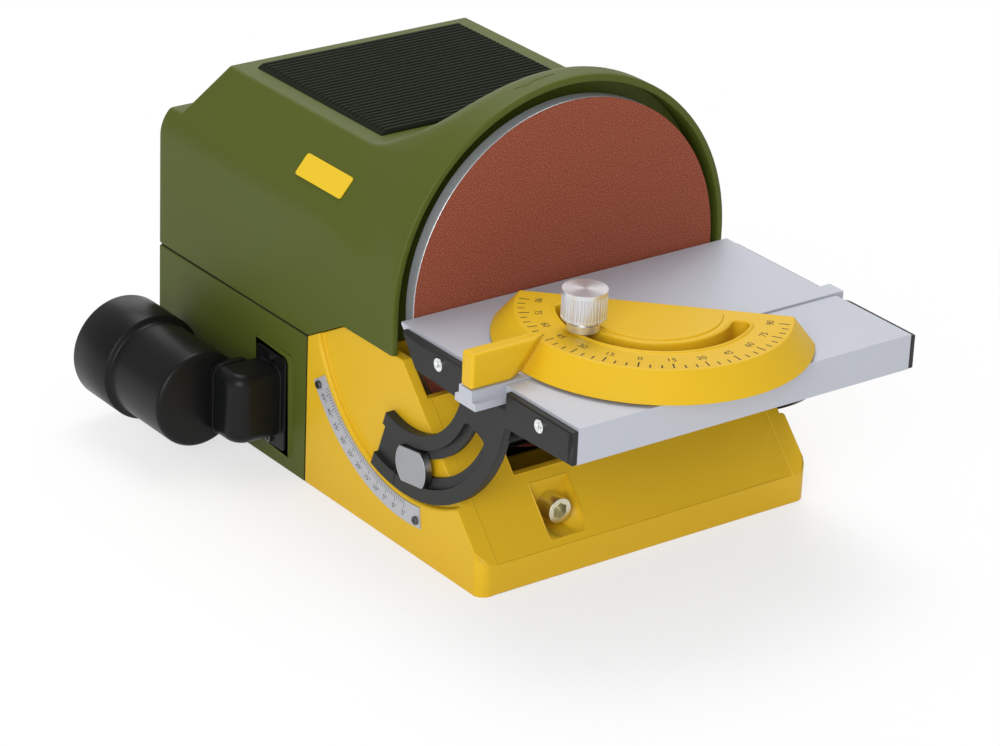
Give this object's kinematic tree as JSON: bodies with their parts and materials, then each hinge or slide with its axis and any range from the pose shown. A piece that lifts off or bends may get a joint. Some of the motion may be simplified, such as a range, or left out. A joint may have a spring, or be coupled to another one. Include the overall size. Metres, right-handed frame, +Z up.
{
  "type": "benchtop disc sander",
  "caption": "Benchtop disc sander: enclosed motor, abrasive disc in a round guard, tilting table with quadrants and scale, sliding mitre gauge and side dust outlet.",
  "frame": {"origin": "on the bench, straight below the centre of the abrasive face", "axes": "+X to the operator's right, +Y away from the operator along the spindle, +Z up"},
  "size_m": [0.3889, 0.524, 0.302],
  "materials": {
    "green": "fine moulded grain, olive green",
    "yellow": "satin moulded finish, golden yellow",
    "zinc": "zinc-plated sheet",
    "screw_dark": "blackened",
    "screw_bright": "bright zinc",
    "screw_zinc": "yellow-passivated zinc",
    "black_rubber": "matt ribbed rubber",
    "yellow_plate": "plain printed plate",
    "motor_steel": "satin grey",
    "cast_alloy": "die cast",
    "bearing_steel": "ground",
    "rotor": "laminated, varnished",
    "black_plastic": "satin moulded black",
    "disc_alloy": "turned",
    "abrasive": "bonded aluminium-oxide grit on paper",
    "scale_metal": "anodised, printed scale",
    "dark_steel": "blackened",
    "turned_steel": "faced on a lathe",
    "table_alloy": "anodised extrusion",
    "dark_grey": "fine grain, dark grey",
    "knurled_alloy": "bright, knurled",
    "rocker_red": "glossy"
  },
  "bodies": {
    "base": {"upper_housing": "green", "lower_housing": "green", "front_base": "yellow", "bottom_plate": "zinc", "bottom_screws": "screw_dark", "top_mat": "black_rubber", "name_plate": "yellow_plate", "stator_can": "motor_steel", "motor_front_bell": "cast_alloy", "motor_rear_bell": "cast_alloy", "motor_screws": "screw_dark", "front_bearing": "bearing_steel", "rear_bearing": "bearing_steel", "dust_elbow": "black_plastic", "dust_outlet": "black_plastic", "elbow_screws": "screw_dark", "scale_strip": "scale_metal", "scale_screws": "screw_dark", "clamp_rod": "dark_steel", "clamp_head": "turned_steel", "base_screw": "screw_zinc", "switch_bezel": "black_plastic", "rocker_pin": "bearing_steel", "cord_gland": "black_plastic"},
    "spindle": {"motor_shaft": "bearing_steel", "rotor_core": "rotor", "cooling_fan": "black_plastic", "disc_hub": "cast_alloy", "disc_plate": "disc_alloy", "hub_screws": "screw_dark", "sanding_disc": "abrasive"},
    "table": {"table_top": "table_alloy", "left_end_plate": "dark_grey", "right_end_plate": "dark_grey", "end_plate_screws": "screw_bright"},
    "slider": {"slider_bar": "table_alloy", "pointer_block": "yellow", "gauge_pivot_stud": "bearing_steel"},
    "gauge": {"mitre_gauge": "yellow"},
    "lock": {"lock_knob": "knurled_alloy", "lock_stud": "bearing_steel"},
    "clamp": {"clamp_knob": "black_plastic"},
    "switch": {"rocker": "rocker_red"}
  },
  "joints": [
    {"name": "disc_spin", "type": "hinge", "parent": "base", "child": "spindle", "pos_m": [0, 0, 0.162], "axis": [0, 1, 0], "continuous": true},
    {"name": "table_tilt", "type": "hinge", "parent": "base", "child": "table", "pos_m": [0, -0.018, 0.153], "axis": [1, 0, 0], "range_deg": [-5, 45]},
    {"name": "gauge_slide", "type": "slide", "parent": "table", "child": "slider", "axis": [1, 0, 0], "range_m": [-0.06, 0.09]},
    {"name": "gauge_swivel", "type": "hinge", "parent": "slider", "child": "gauge", "pos_m": [-0.014, -0.111, 0.162], "axis": [0, 0, 1], "range_deg": [-125, 35]},
    {"name": "lock_knob_turn", "type": "hinge", "parent": "slider", "child": "lock", "pos_m": [-0.072, -0.111, 0.162], "axis": [0, 0, 1], "continuous": true},
    {"name": "clamp_knob_turn", "type": "hinge", "parent": "base", "child": "clamp", "pos_m": [0.15, -0.02997, 0.06784], "axis": [1, 0, 0], "continuous": true},
    {"name": "rocker_tip", "type": "hinge", "parent": "base", "child": "switch", "pos_m": [0.139, 0.19, 0.068], "axis": [0, 1, 0], "range_deg": [0, 20]}
  ]
}
